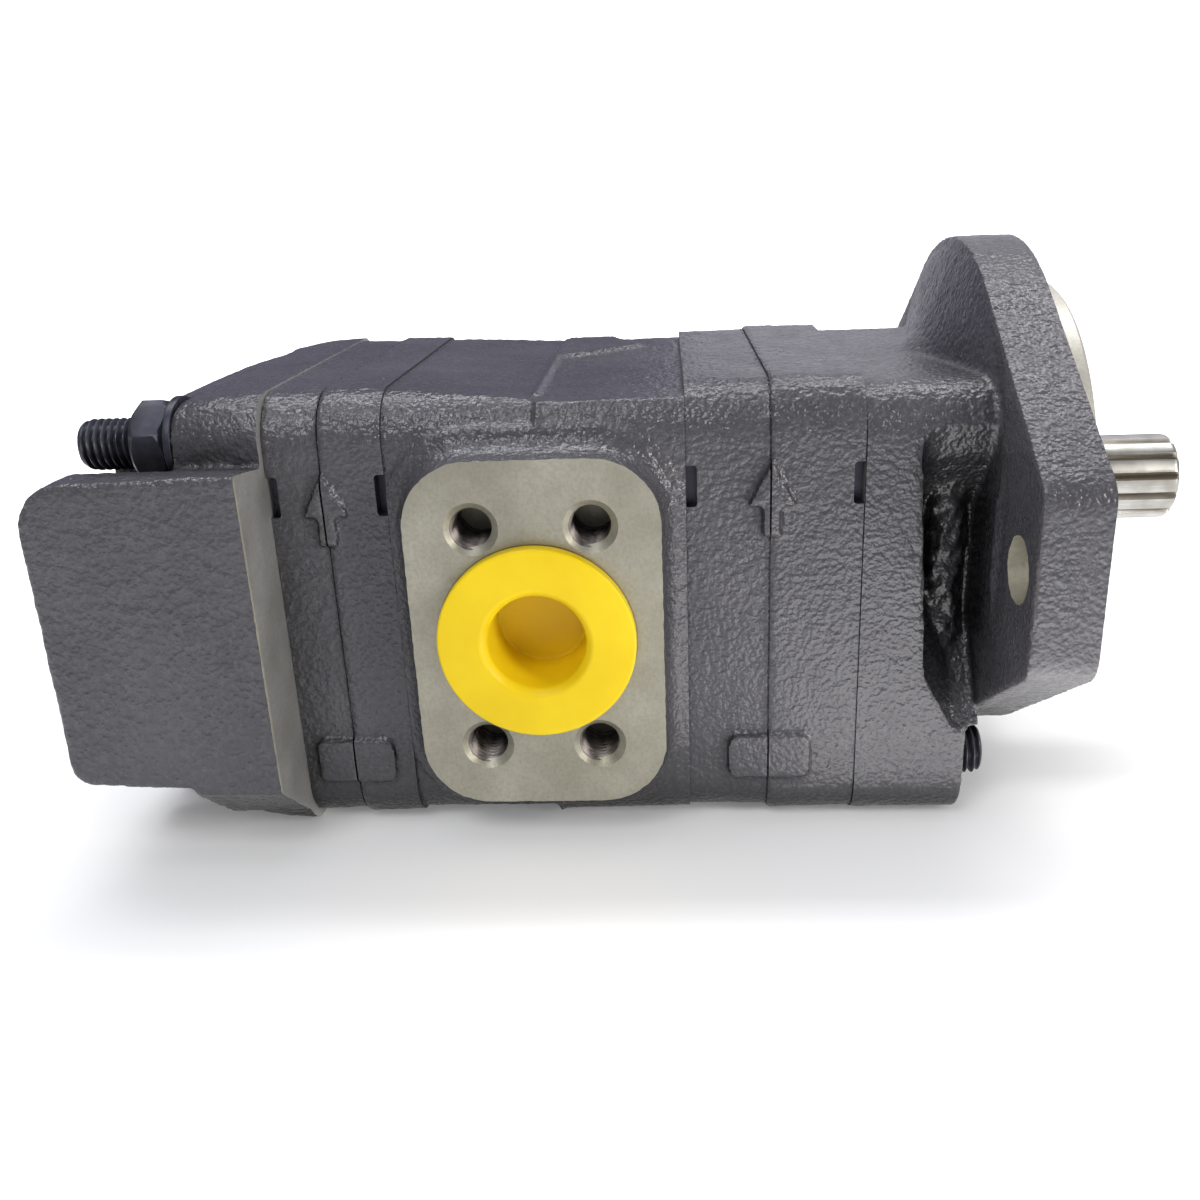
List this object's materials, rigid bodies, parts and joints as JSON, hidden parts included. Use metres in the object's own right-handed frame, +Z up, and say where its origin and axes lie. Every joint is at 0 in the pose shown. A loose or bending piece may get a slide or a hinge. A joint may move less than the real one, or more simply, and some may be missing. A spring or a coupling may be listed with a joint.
{
  "type": "hydraulic gear pump",
  "caption": "Tandem hydraulic gear pump with a two-bolt flange, splined shaft, flanged side ports and port plugs.",
  "frame": {"origin": "centre of the drive shaft's end face, on the shaft's axis", "axes": "+X along the drive shaft, out of the pump at its splined end; +Z up, from the driven gear to the drive shaft; -Y is the side of the smaller port pad and the valve block"},
  "size_m": [0.2718, 0.17, 0.133],
  "materials": {
    "painted_iron": "semi-gloss dark grey paint over rough cast iron",
    "ground_steel": "ground bare steel",
    "bearing_bronze": "machined bearing bronze",
    "seal_rubber": "matt moulded nitrile",
    "black_steel": "black oxide, lightly oiled",
    "pin_steel": "ground pin",
    "yellow_plastic": "moulded yellow plastic"
  },
  "bodies": {
    "casing": {"front_cover": "painted_iron", "front_gear_housing": "painted_iron", "bearing_carrier": "painted_iron", "rear_gear_housing": "painted_iron", "rear_cover": "painted_iron", "bush_front_cover_drive": "bearing_bronze", "bush_front_cover_driven": "bearing_bronze", "bush_carrier_front_drive": "bearing_bronze", "bush_carrier_front_driven": "bearing_bronze", "bush_carrier_rear_drive": "bearing_bronze", "bush_carrier_rear_driven": "bearing_bronze", "bush_rear_cover_drive": "bearing_bronze", "bush_rear_cover_driven": "bearing_bronze", "thrust_plate_front_1": "bearing_bronze", "thrust_plate_front_2": "bearing_bronze", "thrust_plate_rear_1": "bearing_bronze", "thrust_plate_rear_2": "bearing_bronze", "section_seal_1": "seal_rubber", "section_seal_2": "seal_rubber", "section_seal_3": "seal_rubber", "section_seal_4": "seal_rubber", "shaft_seal": "seal_rubber", "seal_retaining_ring": "black_steel", "dowel_1_1": "pin_steel", "dowel_1_2": "pin_steel", "dowel_2_1": "pin_steel", "dowel_2_2": "pin_steel", "dowel_3_1": "pin_steel", "dowel_3_2": "pin_steel", "dowel_4_1": "pin_steel", "dowel_4_2": "pin_steel", "stud_1": "black_steel", "stud_2": "black_steel", "stud_3": "black_steel", "stud_4": "black_steel", "washer_1": "black_steel", "washer_2": "black_steel", "washer_3": "black_steel", "washer_4": "black_steel", "nut_1": "black_steel", "nut_2": "black_steel", "nut_3": "black_steel", "nut_4": "black_steel"},
    "drive_line": {"drive_shaft": "ground_steel", "connecting_shaft": "ground_steel", "rear_drive_gear": "ground_steel"},
    "front_driven": {"front_driven_gear": "ground_steel"},
    "rear_driven": {"rear_driven_gear": "ground_steel"},
    "near_plug": {"near_port_plug": "yellow_plastic"},
    "far_plug": {"far_port_plug": "yellow_plastic"},
    "rear_plug": {"rear_port_plug": "yellow_plastic"}
  },
  "joints": [
    {"name": "drive_spin", "type": "hinge", "parent": "casing", "child": "drive_line", "pos_m": [0, 0, 0], "axis": [1, 0, 0], "continuous": true},
    {"name": "front_driven_spin", "type": "hinge", "parent": "casing", "child": "front_driven", "pos_m": [-0.106, 0, -0.034], "axis": [1, 0, 0], "continuous": true},
    {"name": "rear_driven_spin", "type": "hinge", "parent": "casing", "child": "rear_driven", "pos_m": [-0.206, 0, -0.034], "axis": [1, 0, 0], "continuous": true},
    {"name": "near_plug_pull", "type": "slide", "parent": "casing", "child": "near_plug", "axis": [0, -1, 0], "range_m": [0, 0.04]},
    {"name": "far_plug_pull", "type": "slide", "parent": "casing", "child": "far_plug", "axis": [0, 1, 0], "range_m": [0, 0.04]},
    {"name": "rear_plug_pull", "type": "slide", "parent": "casing", "child": "rear_plug", "axis": [-1, 0, 0], "range_m": [0, 0.04]}
  ],
  "couplings": [
    {"joint": "front_driven_spin", "follows": "drive_spin", "ratio": -1},
    {"joint": "rear_driven_spin", "follows": "drive_spin", "ratio": -1}
  ]
}
